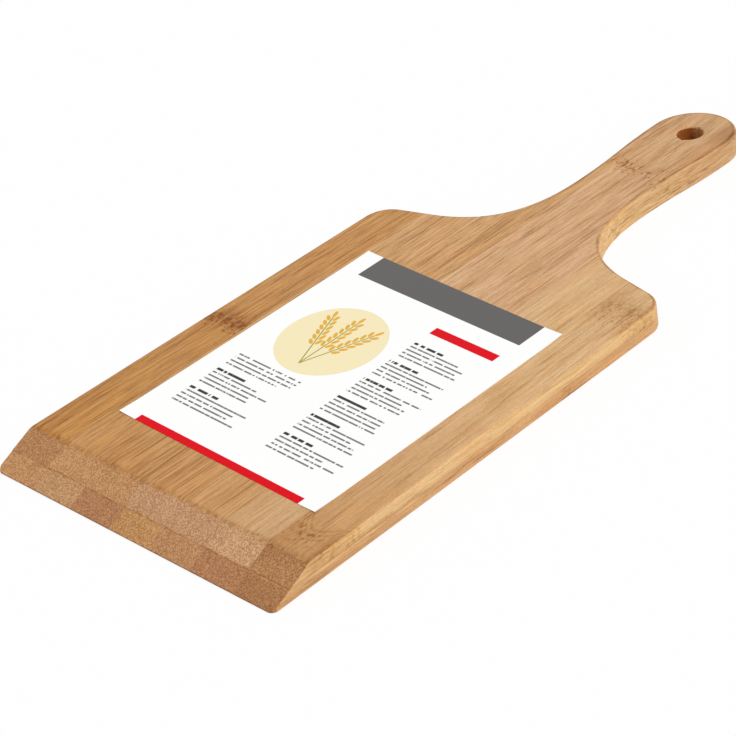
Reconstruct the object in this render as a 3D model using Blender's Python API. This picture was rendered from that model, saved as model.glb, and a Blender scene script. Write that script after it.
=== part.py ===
"""Spaetzle board: two plies of bamboo strips, sawn to a paddle with a bevelled front edge,
and a paper label on its top face.

The frame is the board's own, in metres. The origin is at the middle of the underside's
outline box, +Z is up, and +Y runs along the board from the bevelled front edge to the grip.
"""
import math

import bmesh
import bpy
from mathutils import Vector

# Whole board
BOARD_LENGTH = 0.340
BLADE_WIDTH = 0.150
BOARD_THICKNESS = 0.010

# Bamboo strips: two plies, each a row of strips glued edge to edge round a middle one, which runs
# on into the handle. A rest of the width under NARROWEST_STRIP stays on the outer strip beside it.
LOWER_PLY_THICKNESS = 0.0049
STRIP_WIDTH = 0.0218
UPPER_ROW_SHIFT = 0.0004
LOWER_ROW_SHIFT = 0.0010
NARROWEST_STRIP = 0.010
MIDDLE_STRIP = 4
GLUE_GAP = 0.0003

# Bevelled front edge, over which the dough is scraped
BEVEL_RUN = 0.020
FRONT_EDGE_HEIGHT = 0.0009
CREST_RADIUS = 0.010
FRONT_CORNER_RADIUS = 0.003

# Shoulders, where the straight sides end and turn in towards the handle
SHOULDER_FROM_FRONT = 0.1985
SHOULDER_RADIUS = 0.012
SHOULDER_RISE = math.radians(13.9)
SHOULDER_CURVE_HALF_WIDTH = 0.0515
SHOULDER_EASE = 0.633

# Handle: a narrow neck that swells to a round grip with a hole to hang it by
NECK_FROM_FRONT = 0.2654
NECK_WIDTH = 0.0324
GRIP_WIDTH = 0.038
GRIP_EASE = 0.45
HOLE_FROM_END = 0.0197
HOLE_DIAMETER = 0.011
HOLE_CHAMFER = 0.0005

# Rounded edges round the outline
UPPER_EDGE_RADIUS = 0.0015
LOWER_EDGE_RADIUS = 0.0006

# Paper label on the top face; its ends are cut a little off square to its sides
LABEL_WIDTH = 0.1092
LABEL_LENGTH = 0.1320
LABEL_THICKNESS = 0.0002
LABEL_FROM_FRONT = 0.0415
LABEL_FROM_MIDDLE = 0.0024
LABEL_END_SLOPE = math.radians(-3.15)

# Fineness of the curves: straight steps in each
CORNER_STEPS = 4
SHOULDER_STEPS = 6
SWEEP_STEPS = 12
GRIP_END_STEPS = 9
EDGE_STEPS = 3
CREST_STEPS = 3
HOLE_STEPS = 32

# How far a cutter reaches past what it cuts
REACH = 0.010

# Tones of the strips, from left to right, and the other colours
PALE_BAMBOO = (0.62, 0.40, 0.20)
WARM_BAMBOO = (0.56, 0.33, 0.15)
BROWN_BAMBOO = (0.46, 0.25, 0.10)
UPPER_TONES = (BROWN_BAMBOO, WARM_BAMBOO, PALE_BAMBOO, PALE_BAMBOO, WARM_BAMBOO, PALE_BAMBOO, WARM_BAMBOO)
LOWER_TONES = (PALE_BAMBOO, WARM_BAMBOO, BROWN_BAMBOO, WARM_BAMBOO, BROWN_BAMBOO, WARM_BAMBOO, WARM_BAMBOO)
BAMBOO_ROUGHNESS = 0.55
PAPER_WHITE = (0.90, 0.90, 0.90)
PAPER_ROUGHNESS = 0.40

FRONT = -BOARD_LENGTH / 2


def clear_scene():
    """Removes every object, so that the file holds the board alone."""
    for thing in list(bpy.data.objects):
        bpy.data.objects.remove(thing, do_unlink=True)


def finish(name, colour, roughness):
    """A plain material of one colour."""
    material = bpy.data.materials.new(name)
    material.use_nodes = True
    shader = material.node_tree.nodes["Principled BSDF"]
    shader.inputs["Base Color"].default_value = (*colour, 1.0)
    shader.inputs["Roughness"].default_value = roughness
    shader.inputs["Metallic"].default_value = 0.0
    return material


def add_object(name, bm, location=(0.0, 0.0, 0.0)):
    """Turns a bmesh into a named object in the scene."""
    bmesh.ops.recalc_face_normals(bm, faces=bm.faces)
    mesh = bpy.data.meshes.new(name)
    bm.to_mesh(mesh)
    bm.free()
    thing = bpy.data.objects.new(name, mesh)
    thing.location = location
    bpy.context.collection.objects.link(thing)
    return thing


def hide_as_guide(thing):
    """Marks an object that only shapes others."""
    thing.hide_render = True
    thing.display_type = "WIRE"
    return thing


def add_boolean(thing, operation, other):
    """Shapes an object by another one."""
    cut = thing.modifiers.new(other.name, "BOOLEAN")
    cut.operation = operation
    cut.solver = "EXACT"
    cut.object = other


def arc(centre, radius, start, end, steps):
    """Points on a circle from one angle to another."""
    angles = [start + (end - start) * step / steps for step in range(steps + 1)]
    return [centre + radius * Vector((math.cos(angle), math.sin(angle))) for angle in angles]


def sweep(first, first_pull, last_pull, last, steps):
    """Points on a cubic Bezier curve, without its first point."""
    points = []
    for step in range(1, steps + 1):
        t = step / steps
        points.append(
            (1 - t) ** 3 * first
            + 3 * (1 - t) ** 2 * t * first_pull
            + 3 * (1 - t) * t ** 2 * last_pull
            + t ** 3 * last
        )
    return points


def right_outline():
    """The outline's right half, from the front edge round the grip to its end, seen from above."""
    half = BLADE_WIDTH / 2
    corner = Vector((half - FRONT_CORNER_RADIUS, FRONT + FRONT_CORNER_RADIUS))
    points = arc(corner, FRONT_CORNER_RADIUS, -math.pi / 2, 0.0, CORNER_STEPS)

    shoulder = Vector((half - SHOULDER_RADIUS, FRONT + SHOULDER_FROM_FRONT))
    points += arc(shoulder, SHOULDER_RADIUS, 0.0, math.pi / 2 - SHOULDER_RISE, SHOULDER_STEPS)

    rise = Vector((-1.0, math.tan(SHOULDER_RISE)))
    curve_start = points[-1] + rise * (points[-1].x - SHOULDER_CURVE_HALF_WIDTH)
    points.append(curve_start)
    neck = Vector((NECK_WIDTH / 2, FRONT + NECK_FROM_FRONT))
    shoulder_pull = rise * SHOULDER_EASE * (curve_start.x - neck.x)
    neck_pull = Vector((0.0, SHOULDER_EASE * (neck.y - curve_start.y)))
    points += sweep(curve_start, curve_start + shoulder_pull, neck - neck_pull, neck, SWEEP_STEPS)

    grip_centre = Vector((0.0, FRONT + BOARD_LENGTH - GRIP_WIDTH / 2))
    grip_side = grip_centre + Vector((GRIP_WIDTH / 2, 0.0))
    grip_pull = Vector((0.0, GRIP_EASE * (grip_side.y - neck.y)))
    points += sweep(neck, neck + grip_pull, grip_side - grip_pull, grip_side, SWEEP_STEPS)
    points += arc(grip_centre, GRIP_WIDTH / 2, 0.0, math.pi / 2, GRIP_END_STEPS)[1:]
    return points


def whole_outline():
    """The closed outline, counterclockwise from above."""
    right = right_outline()
    left = [Vector((-point.x, point.y)) for point in reversed(right[:-1])]
    return right + left


def drawn_in(outline, inset):
    """The outline moved inwards by the same distance all round."""
    moved = []
    count = len(outline)
    for index, point in enumerate(outline):
        before = (point - outline[index - 1]).normalized()
        after = (outline[(index + 1) % count] - point).normalized()
        inward_before = Vector((-before.y, before.x))
        inward_after = Vector((-after.y, after.x))
        middle = (inward_before + inward_after).normalized()
        moved.append(point + middle * inset / middle.dot(inward_after))
    return moved


def edge_layers():
    """Inset and height of each ring of the board's side, from the underside to the top."""
    layers = []
    for step in range(EDGE_STEPS + 1):
        angle = math.pi / 2 * step / EDGE_STEPS
        inset = LOWER_EDGE_RADIUS * (1 - math.sin(angle))
        layers.append((inset, LOWER_EDGE_RADIUS * (1 - math.cos(angle))))
    for step in range(EDGE_STEPS + 1):
        angle = math.pi / 2 * step / EDGE_STEPS
        inset = UPPER_EDGE_RADIUS * (1 - math.cos(angle))
        layers.append((inset, BOARD_THICKNESS - UPPER_EDGE_RADIUS * (1 - math.sin(angle))))
    return layers


def board_blank():
    """The glued panel as it comes from the saw, with its edges rounded."""
    outline = whole_outline()
    bm = bmesh.new()
    rings = []
    for inset, height in edge_layers():
        ring = [bm.verts.new((point.x, point.y, height)) for point in drawn_in(outline, inset)]
        rings.append(ring)
    bm.faces.new(reversed(rings[0]))
    bm.faces.new(rings[-1])
    for lower, upper in zip(rings, rings[1:]):
        for index in range(len(outline)):
            bm.faces.new((lower[index - 1], lower[index], upper[index], upper[index - 1]))
    return hide_as_guide(add_object("board_blank", bm))


def bevel_profile():
    """Section of the bevel from front to back as (y, z), with its crest rounded into the top."""
    slope = math.atan2(BOARD_THICKNESS - FRONT_EDGE_HEIGHT, BEVEL_RUN)
    crest = Vector((FRONT + BEVEL_RUN, BOARD_THICKNESS))
    tangent = CREST_RADIUS * math.tan(slope / 2)
    centre = crest + Vector((tangent, -CREST_RADIUS))
    start = Vector((FRONT, FRONT_EDGE_HEIGHT))
    before_front = start - Vector((REACH, REACH * math.tan(slope)))
    return [before_front] + arc(centre, CREST_RADIUS, math.pi / 2 + slope, math.pi / 2, CREST_STEPS)


def bevel_cutter():
    """What the bevel takes away: all that lies above its section, across the whole blade."""
    section = bevel_profile()
    top = BOARD_THICKNESS + REACH
    section += [Vector((section[-1].x, top)), Vector((section[0].x, top))]
    side = BLADE_WIDTH / 2 + REACH
    bm = bmesh.new()
    face = bm.faces.new([bm.verts.new((-side, point.x, point.y)) for point in section])
    extruded = bmesh.ops.extrude_face_region(bm, geom=[face])["geom"]
    far_side = [item for item in extruded if isinstance(item, bmesh.types.BMVert)]
    bmesh.ops.translate(bm, verts=far_side, vec=(2 * side, 0.0, 0.0))
    return hide_as_guide(add_object("bevel_cutter", bm))


def hole_cutter():
    """The hanging hole, with a small chamfer at both mouths."""
    radius = HOLE_DIAMETER / 2
    flare = radius + HOLE_CHAMFER + REACH
    top = BOARD_THICKNESS
    profile = [(flare, -REACH), (radius, HOLE_CHAMFER), (radius, top - HOLE_CHAMFER), (flare, top + REACH)]
    bm = bmesh.new()
    rings = []
    for ring_radius, height in profile:
        turn = arc(Vector((0.0, 0.0)), ring_radius, 0.0, 2 * math.pi, HOLE_STEPS)[:-1]
        rings.append([bm.verts.new((point.x, point.y, height)) for point in turn])
    bm.faces.new(reversed(rings[0]))
    bm.faces.new(rings[-1])
    for lower, upper in zip(rings, rings[1:]):
        for index in range(HOLE_STEPS):
            bm.faces.new((lower[index - 1], lower[index], upper[index], upper[index - 1]))
    hole_y = FRONT + BOARD_LENGTH - HOLE_FROM_END
    return hide_as_guide(add_object("hole_cutter", bm, (0.0, hole_y, 0.0)))


def seams(row_shift):
    """Where the strips of a ply meet: whole strips round the middle one, and outer ones sawn to fit."""
    half = BLADE_WIDTH / 2
    steps = math.ceil(BLADE_WIDTH / STRIP_WIDTH)
    beside_middle = row_shift + STRIP_WIDTH / 2
    places = [beside_middle + step * STRIP_WIDTH for step in range(-steps, steps)]
    inner = [place for place in places if abs(place) < half - NARROWEST_STRIP]
    return [-half - REACH] + inner + [half + REACH]


def strip(name, left, right, bottom, top, blank, material):
    """One bamboo strip: a squared lath, sawn to the board's outline with the rest."""
    length = BOARD_LENGTH + 2 * REACH
    bm = bmesh.new()
    bmesh.ops.create_cube(bm, size=1.0)
    bmesh.ops.scale(bm, vec=(right - left, length, top - bottom), verts=bm.verts)
    middle = ((left + right) / 2, 0.0, (bottom + top) / 2)
    lath = add_object(name, bm, middle)
    lath.data.materials.append(material)
    add_boolean(lath, "INTERSECT", blank)
    return lath


def ply(name, row_shift, bottom, top, tones, blank):
    """A row of strips, numbered to the left and right of the one that runs on into the handle."""
    places = seams(row_shift)
    first = MIDDLE_STRIP - sum(right < 0.0 for right in places[1:])
    for number, (left, right) in enumerate(zip(places, places[1:]), start=first):
        tone = tones[(number - 1) % len(tones)]
        strip_name = f"{name}_strip_{number}"
        material = finish(strip_name, tone, BAMBOO_ROUGHNESS)
        strip(strip_name, left + GLUE_GAP / 2, right - GLUE_GAP / 2, bottom, top, blank, material)


def label_sheet():
    """The paper label, flat on the top face."""
    half = LABEL_WIDTH / 2
    end_shift = half * math.tan(LABEL_END_SLOPE)
    corners = [
        (-half, -end_shift),
        (half, end_shift),
        (half, LABEL_LENGTH + end_shift),
        (-half, LABEL_LENGTH - end_shift),
    ]
    bm = bmesh.new()
    face = bm.faces.new([bm.verts.new((x, y, 0.0)) for x, y in corners])
    extruded = bmesh.ops.extrude_face_region(bm, geom=[face])["geom"]
    upper = [item for item in extruded if isinstance(item, bmesh.types.BMVert)]
    bmesh.ops.translate(bm, verts=upper, vec=(0.0, 0.0, LABEL_THICKNESS))
    place = (LABEL_FROM_MIDDLE, FRONT + LABEL_FROM_FRONT, BOARD_THICKNESS + GLUE_GAP)
    sheet = add_object("label_sheet", bm, place)
    sheet.data.materials.append(finish("label_paper", PAPER_WHITE, PAPER_ROUGHNESS))


def build():
    """The whole board."""
    clear_scene()
    blank = board_blank()
    add_boolean(blank, "DIFFERENCE", bevel_cutter())
    add_boolean(blank, "DIFFERENCE", hole_cutter())
    glue_line = LOWER_PLY_THICKNESS
    ply("lower", LOWER_ROW_SHIFT, -REACH, glue_line - GLUE_GAP / 2, LOWER_TONES, blank)
    ply("upper", UPPER_ROW_SHIFT, glue_line + GLUE_GAP / 2, BOARD_THICKNESS + REACH, UPPER_TONES, blank)
    label_sheet()


build()
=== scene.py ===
# %% [markdown]
# # A spaetzle board
#
# A spaetzle board is a thin paddle. Soft dough is spread on its flat top, the board is held over
# a pot by its handle, and a scraper pushes thin strands of dough over the bevelled front edge.
# This one is glued from bamboo laths in two layers, and still has its paper label.
#
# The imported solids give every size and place. This script dresses them: it carves each lath
# finely enough for its rounded edges to catch the light, gives it bamboo that is worked out in
# three dimensions, and prints the label. All lengths are metres, unless a name ends in mm.

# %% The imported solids
import math
from collections import namedtuple

import bmesh
import bpy
import numpy as np
from mathutils import Matrix, Vector


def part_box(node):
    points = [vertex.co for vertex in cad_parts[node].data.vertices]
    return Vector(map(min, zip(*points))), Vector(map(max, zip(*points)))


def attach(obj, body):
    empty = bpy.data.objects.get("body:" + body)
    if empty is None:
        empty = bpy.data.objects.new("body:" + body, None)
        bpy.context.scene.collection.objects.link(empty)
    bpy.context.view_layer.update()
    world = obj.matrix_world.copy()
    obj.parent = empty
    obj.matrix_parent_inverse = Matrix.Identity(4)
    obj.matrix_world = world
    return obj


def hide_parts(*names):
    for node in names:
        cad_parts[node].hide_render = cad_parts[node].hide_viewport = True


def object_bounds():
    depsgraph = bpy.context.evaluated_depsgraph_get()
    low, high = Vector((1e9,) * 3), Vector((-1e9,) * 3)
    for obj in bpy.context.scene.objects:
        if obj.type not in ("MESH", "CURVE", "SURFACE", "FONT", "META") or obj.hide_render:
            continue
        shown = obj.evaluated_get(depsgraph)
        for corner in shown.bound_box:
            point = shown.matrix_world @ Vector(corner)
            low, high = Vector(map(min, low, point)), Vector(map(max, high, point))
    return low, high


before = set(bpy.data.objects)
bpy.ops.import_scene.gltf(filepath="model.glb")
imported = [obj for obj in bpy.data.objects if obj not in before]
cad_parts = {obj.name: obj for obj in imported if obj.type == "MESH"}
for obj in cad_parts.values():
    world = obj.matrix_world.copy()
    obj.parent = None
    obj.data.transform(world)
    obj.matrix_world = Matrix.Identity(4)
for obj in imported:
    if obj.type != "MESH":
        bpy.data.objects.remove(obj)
cad_low, cad_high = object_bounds()
DECIMALS = 6
FRONT = round(cad_low.y, DECIMALS)
BOARD_LENGTH = round(cad_high.y, DECIMALS) - FRONT
HALF_WIDTH = round(cad_high.x, DECIMALS)
THICKNESS = round(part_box("upper_strip_4")[1].z, DECIMALS)
print("board in millimetres:", [round(1000 * side, 2) for side in cad_high - cad_low])

# %% [markdown]
# ## The camera
#
# The photograph was taken from the right of the bevelled edge, from about a third of the way up,
# with a long lens and the camera rolled a little. The view is a point to look at, two angles, a
# roll and a distance, which is easier to check than a position and a rotation. The camera looks
# along its own -Z axis, so the third column of its matrix points backwards.

# %% The camera
VIEW_AZIMUTH = math.radians(49.82)
VIEW_ELEVATION = math.radians(31.99)
VIEW_ROLL = math.radians(-10.15)
VIEW_DISTANCE = 0.86735
VIEW_TARGET = Vector((-0.00342, -0.04501, 0.0))
LENS_MM = 111.84
SENSOR_MM = 36.0


def aim(azimuth, elevation, roll):
    """Right, up and back directions of a camera that looks down at the board from one side."""
    flat = math.cos(elevation)
    back = Vector((math.sin(azimuth) * flat, -math.cos(azimuth) * flat, math.sin(elevation)))
    level = Vector((math.cos(azimuth), math.sin(azimuth), 0.0))
    above = back.cross(level)
    right = math.cos(roll) * level + math.sin(roll) * above
    up = math.cos(roll) * above - math.sin(roll) * level
    return right, up, back


right, up, back = aim(VIEW_AZIMUTH, VIEW_ELEVATION, VIEW_ROLL)
place = VIEW_TARGET + VIEW_DISTANCE * back
camera = bpy.data.objects.new("camera", bpy.data.cameras.new("camera"))
camera.data.lens = LENS_MM
camera.data.sensor_width = SENSOR_MM
camera.matrix_world = Matrix(
    [(right[axis], up[axis], back[axis], place[axis]) for axis in range(3)] + [(0, 0, 0, 1)]
)
bpy.context.collection.objects.link(camera)
bpy.context.scene.camera = camera
print("camera at", [round(x, 4) for x in place])

# %% [markdown]
# ## The outline
#
# The blade is a rectangle with small rounded corners at the front and larger ones at the
# shoulders. From there the edge runs in along a slightly rising line, sweeps into a narrow neck
# and swells again to a round grip. Lines, arcs and two Bezier curves draw it, the same ones that
# the solids have, only with far more points. Seen from above the right half goes back steadily
# from front to grip, so it can also be read as a table: for each distance from the front edge,
# half the width of the board.

# %% The outline's measures and its points
CORNER_RADIUS = 0.003
SHOULDER_FROM_FRONT = 0.1985
SHOULDER_RADIUS = 0.012
SHOULDER_RISE = math.radians(13.9)
SWEEP_HALF_WIDTH = 0.0515
SHOULDER_EASE = 0.633
NECK_FROM_FRONT = 0.2654
NECK_HALF_WIDTH = 0.0162
GRIP_RADIUS = 0.019
GRIP_EASE = 0.45
CURVE_POINTS = 28
STRAIGHT_POINTS = 12


def arc(centre, radius, start, end):
    """Points on a circle: the centre plus the radius times (cosine, sine) of an angle."""
    angle = np.linspace(start, end, CURVE_POINTS)
    return np.array(centre) + radius * np.column_stack([np.cos(angle), np.sin(angle)])


def sweep(first, first_pull, last_pull, last):
    """Cubic Bezier curve: four points weighted by the terms of ((1 - t) + t) cubed."""
    t = np.linspace(0.0, 1.0, CURVE_POINTS)[:, None]
    weights = [(1 - t) ** 3, 3 * (1 - t) ** 2 * t, 3 * (1 - t) * t**2, t**3]
    points = (first, first_pull, last_pull, last)
    return sum(weight * point for weight, point in zip(weights, points))


def right_half():
    """The right half of the outline as (half width, distance from the front edge)."""
    corner = arc((HALF_WIDTH - CORNER_RADIUS, CORNER_RADIUS), CORNER_RADIUS, -math.pi / 2, 0.0)
    centre = (HALF_WIDTH - SHOULDER_RADIUS, SHOULDER_FROM_FRONT)
    shoulder = arc(centre, SHOULDER_RADIUS, 0.0, math.pi / 2 - SHOULDER_RISE)
    rise = np.array([-1.0, math.tan(SHOULDER_RISE)])
    start = shoulder[-1] + rise * (shoulder[-1][0] - SWEEP_HALF_WIDTH)
    straight = np.linspace(shoulder[-1], start, STRAIGHT_POINTS)[1:-1]
    neck = np.array([NECK_HALF_WIDTH, NECK_FROM_FRONT])
    inward = start + rise * SHOULDER_EASE * (start[0] - neck[0])
    downward = neck - [0.0, SHOULDER_EASE * (neck[1] - start[1])]
    grip_centre = np.array([0.0, BOARD_LENGTH - GRIP_RADIUS])
    grip_side = grip_centre + [GRIP_RADIUS, 0.0]
    pull = np.array([0.0, GRIP_EASE * (grip_side[1] - neck[1])])
    to_neck = sweep(start, inward, downward, neck)
    to_grip = sweep(neck, neck + pull, grip_side - pull, grip_side)
    grip_end = arc(grip_centre, GRIP_RADIUS, 0.0, math.pi / 2)
    return np.concatenate([corner, shoulder, straight, to_neck, to_grip[1:], grip_end[1:]])


HALF_OUTLINE = right_half()


def half_width(forth):
    """Half the width of the board at each distance from the front edge."""
    return np.interp(forth, HALF_OUTLINE[:, 1], HALF_OUTLINE[:, 0])


neck_mm = round(2000 * NECK_HALF_WIDTH, 1)
print("half outline:", len(HALF_OUTLINE), "points, neck", neck_mm, "mm wide")

# %% [markdown]
# ## Heights from distances
#
# Every rounded edge of the board can be told from one number: how far a point lies from the
# outline. Within the edge's radius r of it, the top falls away as a quarter circle, by
# r - sqrt(r^2 - (r - d)^2) at distance d. The same formula with another radius rounds the
# underside, and with the distance to the hanging hole it eases the mouth of the hole. So a lath
# needs no bevel modifier: its top and its underside are two height maps over the same points.

# %% Distance to the outline, and what an edge takes away
TOP_RADIUS = 0.0015
UNDER_RADIUS = 0.0006
ARRIS_RADIUS = 0.0002
HOLE_RADIUS = 0.0055
HOLE_FROM_END = 0.0197
HOLE_EASING = 0.0010
HOLE_FORTH = BOARD_LENGTH - HOLE_FROM_END
TINY = 1e-18


def distance_inside(across, forth):
    """Distance from each point to the nearest stretch of outline, which is mirrored about x = 0."""
    start = np.vstack([[0.0, 0.0], HALF_OUTLINE[:-1]])
    along = HALF_OUTLINE - start
    points = np.stack([np.abs(across), forth], axis=-1)[..., None, :]
    share = ((points - start) * along).sum(-1) / np.maximum((along**2).sum(-1), TINY)
    nearest = start + np.clip(share, 0.0, 1.0)[..., None] * along
    return np.sqrt(((points - nearest) ** 2).sum(-1)).min(-1)


def fall(distance, radius):
    """How far a rounded edge of that radius falls below the flat, at a distance from the edge."""
    inner = radius - np.clip(distance, 0.0, radius)
    return radius - np.sqrt(np.maximum(radius**2 - inner**2, 0.0))


# %% [markdown]
# ## The bevel
#
# The front edge is planed down to under a millimetre, so that the dough leaves it cleanly. The
# crest between the bevel and the top is sanded round. In section the bevel is a straight slope, an
# arc that is tangent to the slope and to the top, and then the flat top.

# %% The bevel's section and the board's two surfaces
BEVEL_RUN = 0.020
NOSE_HEIGHT = 0.0009
CREST_RADIUS = 0.010
BEVEL_SLOPE = math.atan2(THICKNESS - NOSE_HEIGHT, BEVEL_RUN)
CREST_END = BEVEL_RUN + CREST_RADIUS * math.tan(BEVEL_SLOPE / 2)
CREST_START = CREST_END - CREST_RADIUS * math.sin(BEVEL_SLOPE)


def bevel_height(forth):
    """Height of the bevel: the slope, then the crest's arc, then the flat top."""
    slope = NOSE_HEIGHT + forth * math.tan(BEVEL_SLOPE)
    offset = np.clip(CREST_END - forth, 0.0, CREST_RADIUS * math.sin(BEVEL_SLOPE))
    crest = THICKNESS - CREST_RADIUS + np.sqrt(CREST_RADIUS**2 - offset**2)
    return np.where(forth < CREST_START, slope, crest)


def board_surfaces(across, forth):
    """Height of the board's top and of its underside at each point."""
    edge = distance_inside(across, forth)
    mouth = np.hypot(across, forth - HOLE_FORTH) - HOLE_RADIUS
    flat_top = THICKNESS - fall(edge, TOP_RADIUS)
    bevel = bevel_height(forth) - fall(edge, ARRIS_RADIUS)
    top = np.minimum(flat_top, bevel) - fall(mouth, HOLE_EASING)
    return top, fall(edge, UNDER_RADIUS) + fall(mouth, HOLE_EASING)


print("bevel slope", round(math.degrees(BEVEL_SLOPE), 1), "degrees; crest rounded over",
      round(1000 * (CREST_END - CREST_START), 2), "mm")

# %% [markdown]
# ## One lath as a closed skin
#
# A lath is followed from the front edge backwards, station by station. At each station it reaches
# from one seam to the next, or to the outline where that comes first. A row of points crosses it
# there, crowded at both sides where the rounded edges are. The top map and the underside map give
# each point two heights, and walls join them. The lath with the hanging hole is two such halves,
# left and right of the hole: beside the hole their inner sides are half a circle each, and
# elsewhere they meet on the middle line and are merged.

# %% Where a lath is cut across
JOINT_GAP = 0.00002
LONGEST_STEP = 0.008
NOSE_STATIONS = 8
CREST_STATIONS = 12
HOLE_STATIONS = 41
GLUE_LINE = (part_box("lower_strip_4")[1].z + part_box("upper_strip_4")[0].z) / 2
GLUE_FORTH = round((GLUE_LINE - NOSE_HEIGHT) / math.tan(BEVEL_SLOPE), DECIMALS)


def runs_out(side):
    """How far back the outline comes in to that distance from the middle line."""
    beyond = HALF_OUTLINE[int(np.flatnonzero(HALF_OUTLINE[:, 0] > side)[-1]) :][:2]
    return np.interp(-side, -beyond[:, 0], beyond[:, 1])


def stations(first, sides):
    """Distances from the front edge at which a lath is cut: close together where the board curves,
    and one wherever the outline crosses one of the lath's sides. It ends where its inner side
    runs out."""
    crossings = [runs_out(side) for side in sides]
    turn = np.sin(np.linspace(-math.pi / 2, math.pi / 2, HOLE_STATIONS))
    spots = [
        UNDER_RADIUS * np.linspace(0.0, 1.0, NOSE_STATIONS) ** 2,
        np.linspace(CREST_START, CREST_END, CREST_STATIONS),
        np.arange(0.0, BOARD_LENGTH, LONGEST_STEP),
        HALF_OUTLINE[:, 1],
        HOLE_FORTH + HOLE_RADIUS * turn,
        [GLUE_FORTH, *crossings],
    ]
    forth = np.unique(np.round(np.concatenate(spots), DECIMALS))
    return forth[(forth >= first) & (forth <= round(max(crossings), DECIMALS))]


# %% A skin between two sides
RIM_COLUMNS = 9
MIDDLE_COLUMNS = 12
SAME_POINT = 0.0000004
SHARP_ANGLE = math.radians(38)


def columns(width, rim):
    """Offsets of the points that cross a piece of each width. Those by its sides are r (1 - cos a)
    away for even angles a, which spaces them evenly round an edge of radius r."""
    radius = np.minimum(rim, width / 2)[:, None]
    bend = radius * (1 - np.cos(np.linspace(0.0, math.pi / 2, RIM_COLUMNS)))
    middle = radius + (width[:, None] - 2 * radius) * np.linspace(0.0, 1.0, MIDDLE_COLUMNS)
    return np.hstack([bend[:, :-1], middle, width[:, None] - bend[:, -2::-1]])


def quads(a, b, c, d):
    """Faces from the arrays of their four corners."""
    return np.stack([a, b, c, d], axis=-1).reshape(-1, 4)


def skin(left, right, forth, heights, rim, left_wall, right_wall):
    """Points and faces of a piece between two sides given for each station: its top, its
    underside, a wall along each side and one at each end. The wall masks say between which
    stations a side is closed."""
    across = left[:, None] + columns(right - left, rim)
    rows = np.broadcast_to(forth[:, None], across.shape)
    levels = heights(across, rows)
    points = [np.stack([across, rows + FRONT, level], axis=-1).reshape(-1, 3) for level in levels]
    upper = np.arange(across.size).reshape(across.shape)
    lower = upper + across.size
    faces = [
        quads(upper[:-1, :-1], upper[:-1, 1:], upper[1:, 1:], upper[1:, :-1]),
        quads(lower[:-1, :-1], lower[1:, :-1], lower[1:, 1:], lower[:-1, 1:]),
        quads(upper[:-1, 0], upper[1:, 0], lower[1:, 0], lower[:-1, 0])[left_wall],
        quads(upper[1:, -1], upper[:-1, -1], lower[:-1, -1], lower[1:, -1])[right_wall],
        quads(upper[0, 1:], upper[0, :-1], lower[0, :-1], lower[0, 1:]),
        quads(upper[-1, :-1], upper[-1, 1:], lower[-1, 1:], lower[-1, :-1]),
    ]
    return np.concatenate(points), np.concatenate(faces)


# %% A piece from its skins
def merged_mesh(name, skins):
    """A mesh of the skins' points and faces, with coinciding points merged and faces outward."""
    points, faces, count = [], [], 0
    for skin_points, skin_faces in skins:
        points.append(skin_points)
        faces.append(skin_faces + count)
        count += len(skin_points)
    mesh = bpy.data.meshes.new(name)
    mesh.from_pydata(np.concatenate(points).tolist(), [], np.concatenate(faces).tolist())
    bm = bmesh.new()
    bm.from_mesh(mesh)
    bmesh.ops.remove_doubles(bm, verts=bm.verts, dist=SAME_POINT)
    bmesh.ops.dissolve_degenerate(bm, edges=bm.edges, dist=SAME_POINT)
    bmesh.ops.recalc_face_normals(bm, faces=bm.faces)
    open_edges = sum(not edge.is_manifold for edge in bm.edges)
    bm.to_mesh(mesh)
    bm.free()
    print(f"{name}: {len(mesh.polygons)} faces, {open_edges} open edges")
    return mesh


def make_piece(name, skins):
    """A smooth object of the skins. Each point also keeps its distance from the outline in
    millimetres, which the finish reads."""
    mesh = merged_mesh(name, skins)
    mesh.shade_smooth()
    mesh.set_sharp_from_angle(angle=SHARP_ANGLE)
    points = np.empty(3 * len(mesh.vertices))
    mesh.vertices.foreach_get("co", points)
    x, y, z = points.reshape(-1, 3).T
    edge_mm = mesh.attributes.new("edge_mm", "FLOAT", "POINT")
    edge_mm.data.foreach_set("value", 1000 * distance_inside(x, y - FRONT))
    piece = bpy.data.objects.new(name, mesh)
    bpy.context.collection.objects.link(piece)
    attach(piece, "root")
    return piece


# %% Carving a lath out of the board
LATHS = 7
HOLE_TIP = 0.0001


def seam_places(ply):
    """Where the laths of a ply meet, read from the boxes of the solids, with the board's sides."""
    boxes = [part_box(f"{ply}_strip_{number}") for number in range(1, LATHS + 1)]
    inner = [(left[1].x + right[0].x) / 2 for left, right in zip(boxes, boxes[1:])]
    return [-HALF_WIDTH] + inner + [HALF_WIDTH]


def ply_heights(ply):
    """The height maps of one ply: the board's own surfaces, cut off flat at the glue line."""

    def heights(across, forth):
        top, under = board_surfaces(across, forth)
        if ply == "lower":
            return np.minimum(top, GLUE_LINE - JOINT_GAP / 2), under
        floor = GLUE_LINE + JOINT_GAP / 2
        return np.maximum(top, floor + JOINT_GAP / 2), np.full_like(top, floor)

    return heights


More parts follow.
